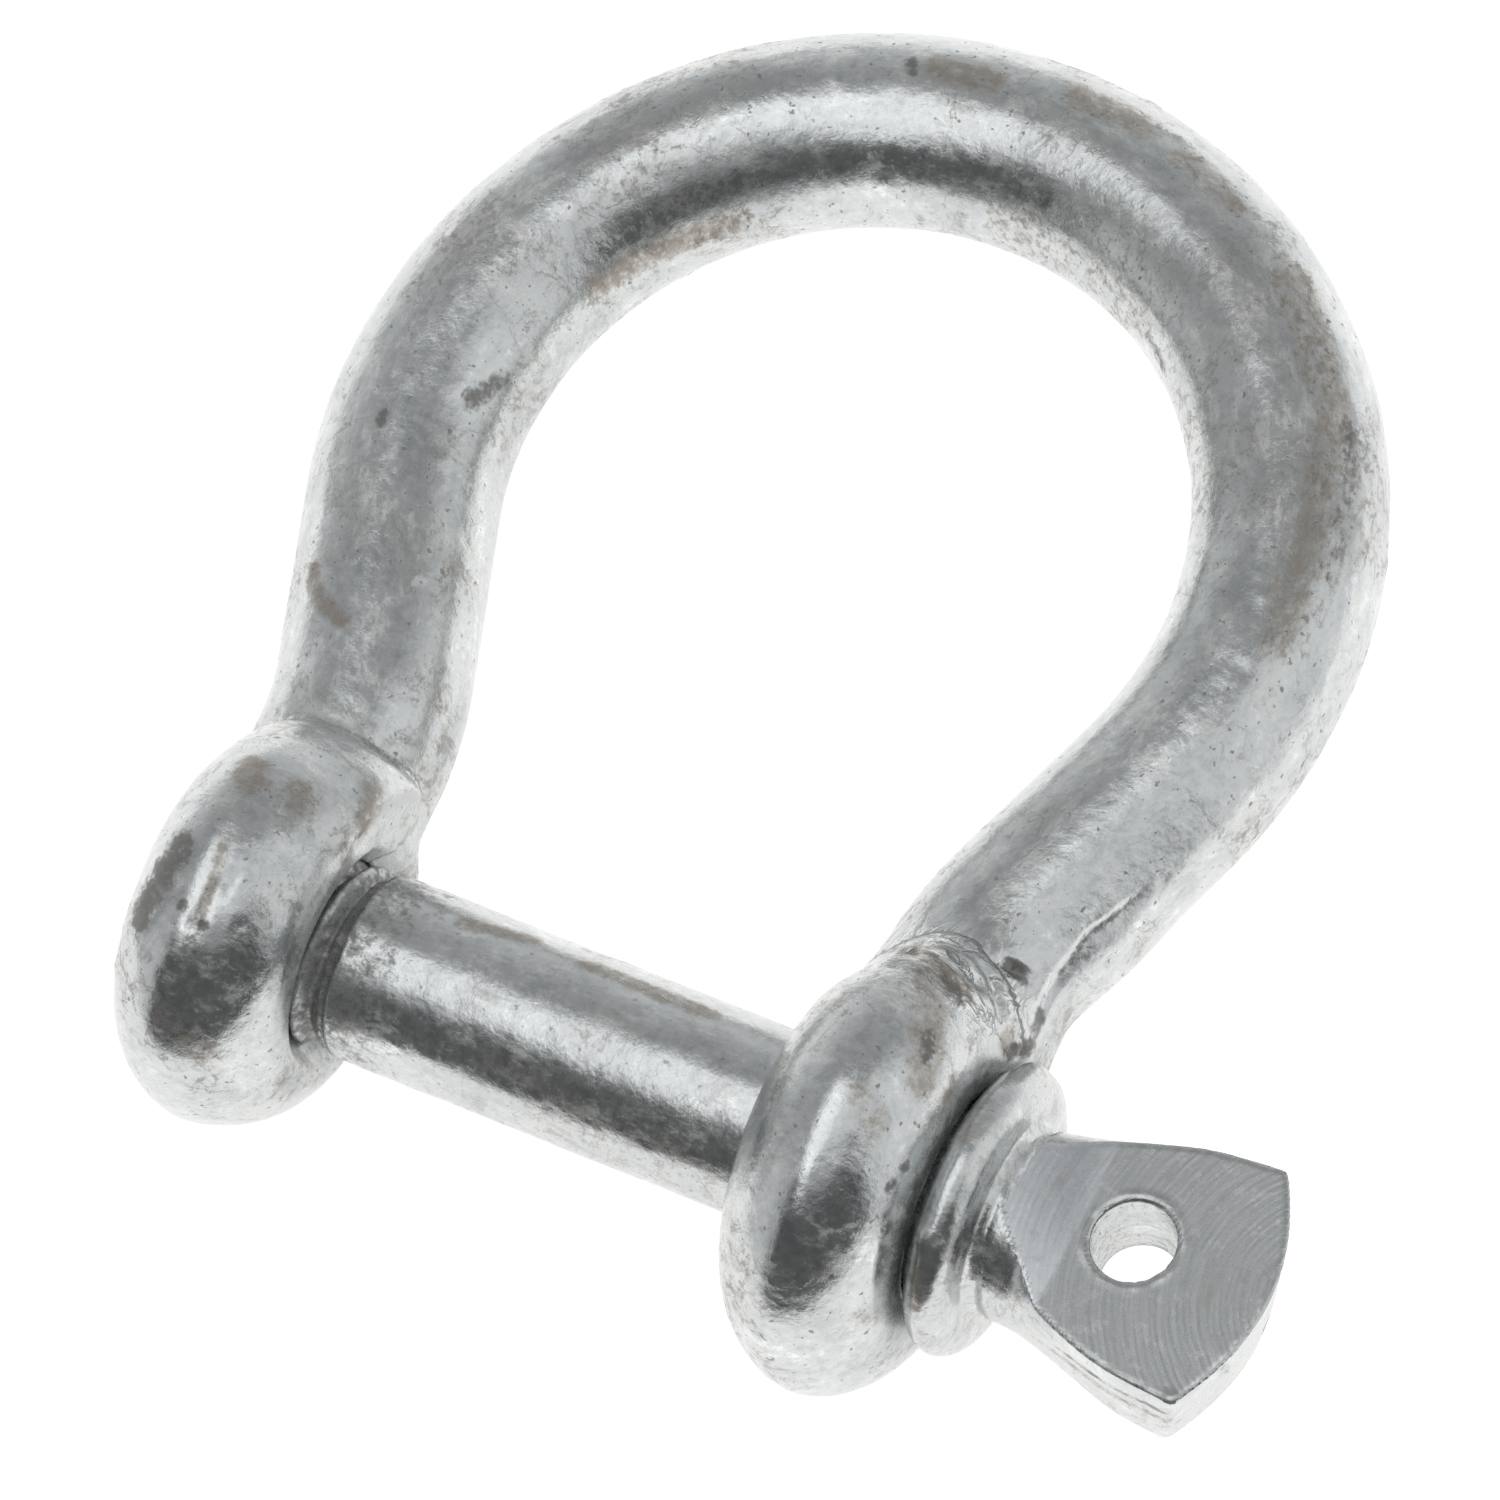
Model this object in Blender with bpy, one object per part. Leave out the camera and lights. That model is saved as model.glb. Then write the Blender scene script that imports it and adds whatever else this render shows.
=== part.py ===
"""Screw-pin bow shackle, galvanised: a bow with two forged eyes, and the screw pin that closes it.

The shackle lies flat. X runs along the pin towards its lug, Y towards the crown of the bow, Z up
through the thickness. The origin is under the middle of the whole shackle, on the surface it
lies on. Every length is in metres.
"""

import math

import bmesh
import bpy

MM = 0.001

# Driving dimensions -----------------------------------------------------------------------------

PIN_DIAMETER = 10.0 * MM
BAR_DIAMETER = 10.3 * MM
JAW_WIDTH = 25.7 * MM  # between the inner faces of the eyes
EYE_THICKNESS = 9.5 * MM
PLAIN_EYE_RADIUS = 12.1 * MM
TAPPED_EYE_RADIUS = 10.9 * MM
EYE_FACE_RADIUS = 6.8 * MM  # where an eye's flat face meets its domed rim
COLLAR_SEAT_RADIUS = 7.35 * MM  # of the plain eye's outer face, which the collar is screwed against
RIM_PEAK_OFFSET = 0.4 * MM  # of the rim's highest line, outwards from the middle of the eye
RIM_FULLNESS = 1.75  # of the domed rim's section: 2 is an ellipse, 1 a plain cone
MOUTH_RADIUS = 6.05 * MM  # of the countersink on each side of an eye
CROWN_RADIUS = 23.45 * MM  # of the bar's centreline
CROWN_HEIGHT = 31.9 * MM  # from the pin's axis to the centre of the crown's arc
BEND_RADIUS = 17.9 * MM  # of the reverse bend in each leg
BEND_HEIGHT = 9.25 * MM  # from the pin's axis to the centre of the reverse bend
LEG_SPREAD = 18.0 * MM  # from the middle of the jaw to the centreline of a leg at its eye
LEG_ROOT_HEIGHT = 4.5 * MM  # how deep into its eye a leg reaches
LEG_ROOT_RADIUS = 4.6 * MM

THREAD_PITCH = 1.5 * MM
THREAD_DEPTH = 0.8 * MM
THREAD_SHOWS = 0.65 * MM  # how far the thread reaches out of the tapped eye into the jaw
UNDERCUT_LENGTH = 0.45 * MM
UNDERCUT_RADIUS = 4.45 * MM
TIP_CHAMFER = 0.8 * MM
COLLAR_RADIUS = 7.75 * MM
COLLAR_THICKNESS = 2.5 * MM
COLLAR_EDGE_DEPTH = 1.5 * MM  # of the rounding, measured towards the pin's axis
NECK_DIAMETER = 9.8 * MM
NECK_LENGTH = 4.6 * MM
NECK_TAPER = 0.4 * MM  # off the radius, over the length of the neck
NECK_FILLET = 0.35 * MM  # where the neck leaves the collar
LUG_LENGTH = 15.0 * MM  # from the collar to the tip of the rounded end
LUG_END_HALF_WIDTH = 6.9 * MM
LUG_END_RISE = 2.2 * MM  # how far the rounded end stands beyond its corners
LUG_END_SLANT = 1.3 * MM  # how much shorter the lower face is than the upper one
LUG_THICKNESS = 6.2 * MM  # between the two milled flats
MILLING_ALLOWANCE = 1.4 * MM  # taken off each face of the forged blank
RAMP_START = 4.4 * MM  # from the collar to the crease between ramp and flat
RAMP_RADIUS = 11.0 * MM
RAMP_CREASE_ANGLE = 14.0  # degrees between the flat and the ramp where they meet
LANYARD_HOLE_DIAMETER = 4.4 * MM
LANYARD_HOLE_FROM_COLLAR = 7.3 * MM
LANYARD_HOLE_OFF_AXIS = 0.4 * MM

FIT_GAP = 0.35 * MM  # left between the pin and the bow wherever they meet
TIP_STANDS_PROUD = 0.5 * MM  # of the threaded tip beyond the tapped eye

GALVANISED_GREY = (0.56, 0.58, 0.59)

BAR_SIDES = 20
TURNED_SIDES = 28
EYE_SIDES = 36
BORE_SIDES = 28
THREAD_ROWS_PER_PITCH = 5

# The fan's half width at distances from the collar. It ends in LUG_END_HALF_WIDTH at the corners.
LUG_FLARE = (
    (1.5 * MM, 4.4 * MM),
    (3.5 * MM, 4.8 * MM),
    (6.0 * MM, 5.6 * MM),
    (8.8 * MM, 6.4 * MM),
)

# Dimensions that follow -------------------------------------------------------------------------

PIN_RADIUS = PIN_DIAMETER / 2
BAR_RADIUS = BAR_DIAMETER / 2
JAW_FACE = JAW_WIDTH / 2
OUTER_FACE = JAW_FACE + EYE_THICKNESS
EYE_CENTRE = JAW_FACE + EYE_THICKNESS / 2
BORE_RADIUS = PIN_RADIUS + FIT_GAP
PIN_TIP = -OUTER_FACE - TIP_STANDS_PROUD
COLLAR_START = OUTER_FACE + FIT_GAP
COLLAR_END = COLLAR_START + COLLAR_THICKNESS
LUG_TIP = COLLAR_END + LUG_LENGTH
CROWN_TOP = CROWN_HEIGHT + CROWN_RADIUS + BAR_RADIUS

# The middle of the jaw, on the pin's axis, seen from the origin under the shackle.
JAW_CENTRE = (
    (CROWN_RADIUS + BAR_RADIUS - LUG_TIP) / 2,
    -(CROWN_TOP - PLAIN_EYE_RADIUS) / 2,
    PLAIN_EYE_RADIUS,
)


# Scene and material helpers ---------------------------------------------------------------------


def clear_objects():
    for obj in list(bpy.data.objects):
        bpy.data.objects.remove(obj, do_unlink=True)


def galvanised(name, colour, roughness):
    material = bpy.data.materials.new(name)
    material.use_nodes = True
    shader = material.node_tree.nodes["Principled BSDF"]
    shader.inputs["Base Color"].default_value = (*colour, 1.0)
    shader.inputs["Roughness"].default_value = roughness
    shader.inputs["Metallic"].default_value = 1.0
    return material


def add_object(name, bm, material=None):
    """Turn a bmesh into an object that stands at the middle of the jaw."""
    bmesh.ops.recalc_face_normals(bm, faces=bm.faces)
    mesh = bpy.data.meshes.new(name)
    bm.to_mesh(mesh)
    bm.free()
    mesh.shade_smooth()
    mesh.set_sharp_from_angle(angle=math.radians(35))
    if material:
        mesh.materials.append(material)
    obj = bpy.data.objects.new(name, mesh)
    obj.location = JAW_CENTRE
    bpy.context.scene.collection.objects.link(obj)
    return obj


def combine(target, other, operation):
    """Join another body to the target, or cut it away, and keep the other one as a guide."""
    modifier = target.modifiers.new(f"{operation.lower()} {other.name}", "BOOLEAN")
    modifier.operation = operation
    modifier.object = other
    other.hide_render = True
    other.display_type = "WIRE"


# Shape helpers ----------------------------------------------------------------------------------


def loft(rings):
    """Skin a list of rings with equal point counts, and close the first and the last one."""
    bm = bmesh.new()
    rows = [[bm.verts.new(point) for point in ring] for ring in rings]
    count = len(rows[0])
    for row, following in zip(rows, rows[1:]):
        for i in range(count):
            j = (i + 1) % count
            bm.faces.new((row[i], row[j], following[j], following[i]))
    bm.faces.new(rows[0])
    bm.faces.new(rows[-1])
    return bm


def ring_about_pin(x, radius_at, sides):
    """A ring of points about the pin's axis, with a radius that may depend on the angle."""
    ring = []
    for i in range(sides):
        angle = math.tau * i / sides
        radius = radius_at(angle)
        ring.append((x, radius * math.cos(angle), radius * math.sin(angle)))
    return ring


def turned(profile, sides):
    """A body of revolution about the pin's axis, from (x, radius) points."""
    return loft([ring_about_pin(x, lambda angle, r=r: r, sides) for x, r in profile])


def thread_rings(start, end, crest, depth, sides):
    """Rings whose radius swings between crest and root once for each pitch and each turn."""
    rows = round((end - start) / THREAD_PITCH * THREAD_ROWS_PER_PITCH)
    rings = []
    for row in range(rows + 1):
        x = start + (end - start) * row / rows

        def radius_at(angle, x=x):
            phase = (x / THREAD_PITCH + angle / math.tau) % 1.0
            return crest - depth * abs(2.0 * phase - 1.0)

        rings.append(ring_about_pin(x, radius_at, sides))
    return rings


# The bow ----------------------------------------------------------------------------------------


def half_centreline():
    """The bar's centreline from the top of the crown down to the +X eye, as (x, y, bar radius)."""
    crown_steps = 20
    bend_steps = 6
    bend_centre_x = LEG_SPREAD + BEND_RADIUS
    drop = BEND_HEIGHT - CROWN_HEIGHT
    distance = math.hypot(bend_centre_x, drop)
    bearing = math.atan2(drop, bend_centre_x)
    touch = bearing + math.acos((CROWN_RADIUS + BEND_RADIUS) / distance)
    points = []
    for i in range(crown_steps + 1):
        angle = math.pi / 2 + (touch - math.pi / 2) * i / crown_steps
        x = CROWN_RADIUS * math.cos(angle)
        y = CROWN_HEIGHT + CROWN_RADIUS * math.sin(angle)
        points.append((x, y, BAR_RADIUS))
    for i in range(bend_steps + 1):
        angle = math.pi + touch * (1 - i / bend_steps)
        x = bend_centre_x + BEND_RADIUS * math.cos(angle)
        y = BEND_HEIGHT + BEND_RADIUS * math.sin(angle)
        points.append((x, y, BAR_RADIUS))
    points.append((EYE_CENTRE, LEG_ROOT_HEIGHT, LEG_ROOT_RADIUS))
    return points


def bar():
    """The round bar, swept through the whole bow from the -X eye to the +X eye."""
    right = half_centreline()
    left = [(-x, y, radius) for x, y, radius in right[:0:-1]]
    path = left + right
    rings = []
    for i, (x, y, radius) in enumerate(path):
        before = path[max(i - 1, 0)]
        after = path[min(i + 1, len(path) - 1)]
        heading = math.atan2(after[1] - before[1], after[0] - before[0])
        ring = []
        for side in range(BAR_SIDES):
            angle = math.tau * side / BAR_SIDES
            out = radius * math.cos(angle)
            ring.append((
                x - out * math.sin(heading),
                y + out * math.cos(heading),
                radius * math.sin(angle),
            ))
        rings.append(ring)
    return loft(rings)


def eye(side, outer_radius, outer_face_radius):
    """A thick forged disc about the pin's axis, with flat faces and a domed rim."""
    quarter_steps = 5
    peak = EYE_CENTRE + RIM_PEAK_OFFSET
    power = 2 / RIM_FULLNESS
    inner_half = []
    outer_half = []
    for i in range(quarter_steps + 1):
        angle = math.pi / 2 * i / quarter_steps
        rise = math.sin(angle) ** power
        across = (1 - math.sin(angle) ** 2) ** (power / 2)
        inner_radius = EYE_FACE_RADIUS + (outer_radius - EYE_FACE_RADIUS) * rise
        outer_half_radius = outer_face_radius + (outer_radius - outer_face_radius) * rise
        inner_half.append((peak - (peak - JAW_FACE) * across, inner_radius))
        outer_half.append((peak + (OUTER_FACE - peak) * across, outer_half_radius))
    profile = inner_half + outer_half[-2::-1]
    return turned([(side * x, radius) for x, radius in profile], EYE_SIDES)


def eye_bore(centre_x):
    """The cutter for an eye's hole, with a countersunk mouth on each face."""
    over = 1.0 * MM
    face = EYE_THICKNESS / 2
    bevel = MOUTH_RADIUS - BORE_RADIUS
    profile = [
        (-face - over, MOUTH_RADIUS + over),
        (-face + bevel, BORE_RADIUS),
        (face - bevel, BORE_RADIUS),
        (face + over, MOUTH_RADIUS + over),
    ]
    return turned([(centre_x + x, r) for x, r in profile], BORE_SIDES)


def make_bow(material):
    bow = add_object("bow", bar(), material)
    plain_eye = add_object("plain_eye_blank", eye(1, PLAIN_EYE_RADIUS, COLLAR_SEAT_RADIUS))
    tapped_eye = add_object("tapped_eye_blank", eye(-1, TAPPED_EYE_RADIUS, EYE_FACE_RADIUS))
    combine(bow, plain_eye, "UNION")
    combine(bow, tapped_eye, "UNION")
    combine(bow, add_object("plain_eye_cutter", eye_bore(EYE_CENTRE)), "DIFFERENCE")
    combine(bow, add_object("tapped_eye_cutter", eye_bore(-EYE_CENTRE)), "DIFFERENCE")
    return bow


# The screw pin ----------------------------------------------------------------------------------


def shank_collar_and_neck():
    """Threaded tip, plain shank, rounded collar, and the waisted neck that runs into the lug."""
    crest = PIN_RADIUS - 0.05 * MM  # the coat is thinner on the thread than on the shank
    root = crest - THREAD_DEPTH
    thread_start = PIN_TIP + TIP_CHAMFER
    thread_end = -JAW_FACE + THREAD_SHOWS
    undercut_end = thread_end + UNDERCUT_LENGTH
    shoulder = PIN_RADIUS - UNDERCUT_RADIUS
    collar_steps = 8
    neck_radius = NECK_DIAMETER / 2

    def plain(x, radius):
        return ring_about_pin(x, lambda angle: radius, TURNED_SIDES)

    rings = [plain(PIN_TIP, root - TIP_CHAMFER / 4), plain(PIN_TIP + TIP_CHAMFER / 2, root)]
    rings += thread_rings(thread_start, thread_end, crest, THREAD_DEPTH, TURNED_SIDES)
    rings += [
        plain(thread_end + UNDERCUT_LENGTH / 3, UNDERCUT_RADIUS),
        plain(undercut_end, UNDERCUT_RADIUS),
        plain(undercut_end + shoulder / 2, PIN_RADIUS),
        plain(COLLAR_START, PIN_RADIUS),
    ]
    for i in range(collar_steps + 1):
        angle = math.pi * i / collar_steps
        x = COLLAR_START + COLLAR_THICKNESS / 2 * (1 - math.cos(angle))
        rings.append(plain(x, COLLAR_RADIUS - COLLAR_EDGE_DEPTH * (1 - math.sin(angle))))
    rings += [
        plain(COLLAR_END, neck_radius + NECK_FILLET),
        plain(COLLAR_END + NECK_FILLET, neck_radius),
        plain(COLLAR_END + NECK_LENGTH, neck_radius - NECK_TAPER),
    ]
    return loft(rings)


def lug_outline(end_shift):
    """The fan's plan from the neck out to its rounded end, which end_shift moves along X."""
    end_steps = 8
    corner = LUG_TIP - LUG_END_RISE + end_shift
    flare = [(COLLAR_END + x, half_width) for x, half_width in LUG_FLARE]
    flare.append((corner, LUG_END_HALF_WIDTH))
    outline = list(flare)
    for i in range(1, end_steps):
        share = 1 - 2 * i / end_steps
        outline.append((corner + LUG_END_RISE * (1 - share**2), LUG_END_HALF_WIDTH * share))
    return outline + [(x, -y) for x, y in reversed(flare)]


def lug_blank():
    """The forged fan before milling, thicker than the lug, with its trimmed end on a slant."""
    half_thickness = LUG_THICKNESS / 2 + MILLING_ALLOWANCE
    shift_per_height = LUG_END_SLANT / LUG_THICKNESS
    rings = []
    for z in (-half_thickness, half_thickness):
        end_shift = shift_per_height * (z - LUG_THICKNESS / 2)
        rings.append([(x, y, z) for x, y in lug_outline(end_shift)])
    bm = loft(rings)
    # The slant twists the two side faces next to the corners, so those are split into triangles.
    bmesh.ops.connect_verts_nonplanar(bm, angle_limit=math.radians(0.1), faces=bm.faces)
    return bm


def milling_cutter(side):
    """What the mill takes off one face: a flat, run out through a concave ramp at the neck."""
    ramp_steps = 6
    crease = math.radians(RAMP_CREASE_ANGLE)
    steepest = math.radians(45)
    flat = LUG_THICKNESS / 2
    centre_x = COLLAR_END + RAMP_START + RAMP_RADIUS * math.sin(crease)
    centre_z = flat + RAMP_RADIUS * math.cos(crease)
    clear_of_tip = LUG_TIP + 2.0 * MM
    clear_of_sides = LUG_END_HALF_WIDTH + 5.0 * MM
    top = 9.0 * MM
    outline = [(clear_of_tip, flat)]
    for i in range(ramp_steps + 1):
        angle = crease + (steepest - crease) * i / ramp_steps
        outline.append((centre_x - RAMP_RADIUS * math.sin(angle), centre_z - RAMP_RADIUS * math.cos(angle)))
    outline += [(outline[-1][0], top), (clear_of_tip, top)]
    return loft([[(x, y, side * z) for x, z in outline] for y in (-clear_of_sides, clear_of_sides)])


def lanyard_hole():
    sides = 20
    x_centre = COLLAR_END + LANYARD_HOLE_FROM_COLLAR
    radius = LANYARD_HOLE_DIAMETER / 2
    reach = LUG_THICKNESS
    rings = []
    for z in (-reach, reach):
        ring = []
        for i in range(sides):
            angle = math.tau * i / sides
            x = x_centre + radius * math.cos(angle)
            y = LANYARD_HOLE_OFF_AXIS + radius * math.sin(angle)
            ring.append((x, y, z))
        rings.append(ring)
    return loft(rings)


def make_screw_pin(material):
    pin = add_object("screw_pin", shank_collar_and_neck(), material)
    combine(pin, add_object("lug_blank", lug_blank()), "UNION")
    combine(pin, add_object("upper_milling_cutter", milling_cutter(1)), "DIFFERENCE")
    combine(pin, add_object("lower_milling_cutter", milling_cutter(-1)), "DIFFERENCE")
    combine(pin, add_object("lanyard_hole_cutter", lanyard_hole()), "DIFFERENCE")
    return pin


def main():
    clear_objects()
    make_bow(galvanised("galvanised bow", GALVANISED_GREY, 0.42))
    make_screw_pin(galvanised("galvanised pin", GALVANISED_GREY, 0.36))


main()
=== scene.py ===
"""Looks of the galvanised screw-pin bow shackle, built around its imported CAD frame.

Both forgings are modelled as signed distance fields in millimetres, measured from the middle of
the jaw on the pin's axis: X towards the lug, Y towards the crown, Z up. Each field is skinned with
quads, and the skin then gets the lumps, creases and dents of the hot-dip coat.
"""

import math

import bpy
import numpy as np
from mathutils import Matrix, Vector, noise


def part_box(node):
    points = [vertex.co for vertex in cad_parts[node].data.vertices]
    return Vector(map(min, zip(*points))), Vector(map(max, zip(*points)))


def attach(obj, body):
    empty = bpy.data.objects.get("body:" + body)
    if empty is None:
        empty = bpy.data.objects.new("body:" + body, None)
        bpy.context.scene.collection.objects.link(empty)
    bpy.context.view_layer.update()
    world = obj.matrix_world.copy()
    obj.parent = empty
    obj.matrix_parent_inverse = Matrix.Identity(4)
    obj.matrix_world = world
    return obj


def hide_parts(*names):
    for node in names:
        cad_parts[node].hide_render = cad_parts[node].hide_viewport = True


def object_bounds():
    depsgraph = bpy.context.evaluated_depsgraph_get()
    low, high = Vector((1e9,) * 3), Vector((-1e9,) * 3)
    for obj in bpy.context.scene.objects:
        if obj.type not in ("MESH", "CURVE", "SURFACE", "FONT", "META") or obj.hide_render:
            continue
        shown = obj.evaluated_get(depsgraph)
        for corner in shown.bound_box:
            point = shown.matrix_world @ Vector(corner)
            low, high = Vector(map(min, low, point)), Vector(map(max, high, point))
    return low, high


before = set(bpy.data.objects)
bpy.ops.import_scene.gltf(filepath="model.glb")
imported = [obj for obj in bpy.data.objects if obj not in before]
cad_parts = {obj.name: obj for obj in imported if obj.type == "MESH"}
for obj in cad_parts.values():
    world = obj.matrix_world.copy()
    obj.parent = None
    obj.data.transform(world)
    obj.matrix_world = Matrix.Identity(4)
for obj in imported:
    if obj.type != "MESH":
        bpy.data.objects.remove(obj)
CAD_LOW, CAD_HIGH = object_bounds()
BOW_LOW, BOW_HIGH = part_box("bow")
PIN_LOW, PIN_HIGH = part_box("screw_pin")

MM = 0.001

# Sizes in millimetres ---------------------------------------------------------------------------

PIN_RADIUS = 5.0
BAR_RADIUS = 5.15
JAW_FACE = 12.85
OUTER_FACE = 22.35
EYE_CENTRE = (JAW_FACE + OUTER_FACE) / 2
PLAIN_EYE_RADIUS = (BOW_HIGH.z - BOW_LOW.z) / 2 / MM
TAPPED_EYE_RADIUS = 10.9
EYE_FACE_RADIUS = 6.8
COLLAR_SEAT_RADIUS = 7.35  # of the plain eye's outer face, which the collar is screwed against
RIM_PEAK = EYE_CENTRE + 0.4
RIM_FULLNESS = 1.75
MOUTH_RADIUS = 6.05
FIT_GAP = 0.35
CROWN_RADIUS = 23.45
CROWN_HEIGHT = 31.9
BEND_RADIUS = 17.9
BEND_HEIGHT = 9.25
LEG_SPREAD = 18.0

THREAD_PITCH = 1.5
THREAD_DEPTH = 0.8
THREAD_CREST = 4.95
THREAD_END = -12.2
THREAD_PLAY = 0.13
UNDERCUT_END = -11.75
SHOULDER = -11.5  # where the plain shank begins
TIP = -22.85
COLLAR_START = 22.7
COLLAR_END = 25.2
COLLAR_RADIUS = 7.75
COLLAR_EDGE_DEPTH = 1.5
LUG_TIP = 40.2
LUG_END_HALF_WIDTH = 6.9
LUG_END_RISE = 2.2
LUG_END_SLANT = 1.3
LUG_HALF_THICKNESS = 3.1
LUG_BLANK_HALF_THICKNESS = 4.7
RAMP_START = COLLAR_END + 4.4
HOLE_X = COLLAR_END + 7.3
HOLE_Y = 0.4
HOLE_RADIUS = 2.2

# How finely the fields are sampled for their skins.
BOW_GRID_STEP = 0.305
PIN_GRID_STEP = 0.2

JAW_CENTRE = Vector((
    (BOW_LOW.x + BOW_HIGH.x) / 2,
    BOW_LOW.y + PLAIN_EYE_RADIUS * MM,
    (BOW_LOW.z + BOW_HIGH.z) / 2,
))

# The leg's reverse bend, and the straight run that joins it to the crown.
BEND_X = LEG_SPREAD + BEND_RADIUS
BEND_DROP = BEND_HEIGHT - CROWN_HEIGHT
TOUCH = math.atan2(BEND_DROP, BEND_X) + math.acos(
    (CROWN_RADIUS + BEND_RADIUS) / math.hypot(BEND_X, BEND_DROP)
)
RUN_TOP = (CROWN_RADIUS * math.cos(TOUCH), CROWN_HEIGHT + CROWN_RADIUS * math.sin(TOUCH))
RUN_FOOT = (BEND_X - BEND_RADIUS * math.cos(TOUCH), BEND_HEIGHT - BEND_RADIUS * math.sin(TOUCH))

# Distances that a field gives where a shape doesn't reach.
FAR = 99.0
CLEAR = 9.0


# Distance-field helpers -------------------------------------------------------------------------


def smooth_min(a, b, radius):
    share = np.clip(0.5 + 0.5 * (b - a) / radius, 0, 1)
    return b + (a - b) * share - radius * share * (1 - share)


def smooth_max(a, b, radius):
    return -smooth_min(-a, -b, radius)


def smooth_step(value, low, high):
    t = np.clip((value - low) / (high - low), 0, 1)
    return t * t * (3 - 2 * t)


def path_distance(points, path):
    """From points in space to a chain of straight segments."""
    nearest = np.full(len(points), FAR)
    for start, end in zip(path, path[1:]):
        start = np.array(start)
        run = np.array(end) - start
        share = np.clip((points - start) @ run / (run @ run), 0, 1)
        offset = points - start - share[:, None] * run
        nearest = np.minimum(nearest, np.linalg.norm(offset, axis=1))
    return nearest


def segment_distance(x, y, start, end):
    """In a plane, from points to one straight segment."""
    dx, dy = end[0] - start[0], end[1] - start[1]
    t = np.clip(((x - start[0]) * dx + (y - start[1]) * dy) / (dx * dx + dy * dy), 0, 1)
    return np.hypot(x - start[0] - t * dx, y - start[1] - t * dy)


def surface_nets(field, low, step):
    """Quads that skin the zero level of a sampled field, one vertex in each cell it crosses."""
    inside = field < 0
    size = np.array(field.shape)
    corners = [(i, j, k) for i in (0, 1) for j in (0, 1) for k in (0, 1)]
    count = np.zeros(size - 1, np.uint8)
    for i, j, k in corners:
        count += inside[i:i + size[0] - 1, j:j + size[1] - 1, k:k + size[2] - 1]
    active = (count > 0) & (count < 8)
    cells = np.argwhere(active)
    values = {c: field[cells[:, 0] + c[0], cells[:, 1] + c[1], cells[:, 2] + c[2]] for c in corners}
    total = np.zeros((len(cells), 3))
    crossings = np.zeros(len(cells))
    for corner in corners:
        for axis in range(3):
            if corner[axis]:
                continue
            other = tuple(1 if i == axis else corner[i] for i in range(3))
            a, b = values[corner], values[other]
            crossed = (a < 0) != (b < 0)
            point = np.tile(np.array(corner, float), (len(cells), 1))
            point[:, axis] += np.where(crossed, a / np.where(crossed, a - b, 1), 0)
            total += point * crossed[:, None]
            crossings += crossed
    vertices = (cells + total / crossings[:, None]) * step + low
    index = np.full(size - 1, -1, np.int32)
    index[active] = np.arange(len(cells))
    quads = []
    for axis in range(3):
        u, v = (axis + 1) % 3, (axis + 2) % 3
        near = [slice(None)] * 3
        far = [slice(None)] * 3
        near[axis], far[axis] = slice(0, -1), slice(1, None)
        edges = np.argwhere(inside[tuple(near)] != inside[tuple(far)])
        ring = []
        for du, dv in ((-1, -1), (0, -1), (0, 0), (-1, 0)):
            cell = edges.copy()
            cell[:, u] += du
            cell[:, v] += dv
            ring.append(index[cell[:, 0], cell[:, 1], cell[:, 2]])
        ring = np.stack(ring, 1)
        leaving = inside[edges[:, 0], edges[:, 1], edges[:, 2]]
        ring[~leaving] = ring[~leaving][:, ::-1]
        quads.append(ring)
    return vertices, np.concatenate(quads)


def gradient(shape, points):
    reach = 0.02
    slopes = np.empty_like(points)
    for axis in range(3):
        ahead, behind = points.copy(), points.copy()
        ahead[:, axis] += reach
        behind[:, axis] -= reach
        slopes[:, axis] = (shape(*ahead.T) - shape(*behind.T)) / (2 * reach)
    return slopes


def skin(shape, low, high, step):
    """Vertices on the shape's surface, their outward normals, and quads."""
    margin = 2.57 * step  # keeps the grid's planes off the places where the surface is level
    low = (np.array(low) - JAW_CENTRE) / MM - margin
    high = (np.array(high) - JAW_CENTRE) / MM + margin
    axes = [np.arange(low[i], high[i] + step, step) for i in range(3)]
    field = shape(*np.meshgrid(*axes, indexing="ij", sparse=True))
    vertices, quads = surface_nets(field, low, step)
    for _ in range(3):
        slopes = gradient(shape, vertices)
        steepness = np.maximum((slopes**2).sum(1), 0.1)
        move = np.clip(shape(*vertices.T) / steepness, -step / 2, step / 2)
        vertices -= move[:, None] * slopes
    normals = gradient(shape, vertices)
    normals /= np.maximum(np.linalg.norm(normals, axis=1), 1e-6)[:, None]
    return vertices, normals, quads


# Noise and marks on a skin ----------------------------------------------------------------------


def fractal(points, wavelength, octaves, offset):
    """Fractal noise, about -1 to 1, at points in millimetres."""
    fall = 1.0
    lacunarity = 2.0
    scaled = points / wavelength + offset
    return np.array([noise.fractal(p, fall, lacunarity, octaves) for p in scaled.tolist()])


def pimples(points, spacing, radius, share, offset):
    """Small round bumps, 0 to 1, at random places about a spacing apart."""
    out = np.zeros(len(points))
    for i, p in enumerate((points / spacing + offset).tolist()):
        distances, centres = noise.voronoi(p)
        near = distances[0] * spacing / radius
        if near < 1 and noise.cell(centres[0] * 7.3) < share * 2 - 1:
            out[i] = (1 - near * near) ** 2
    return out


def spot(points, place, size):
    """A soft round spot, 1 in its middle, that may be longer in some directions than others."""
    offset = (points - np.array(place)) / np.array(size)
    return np.exp(-(offset**2).sum(1))


# The bow ----------------------------------------------------------------------------------------


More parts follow.
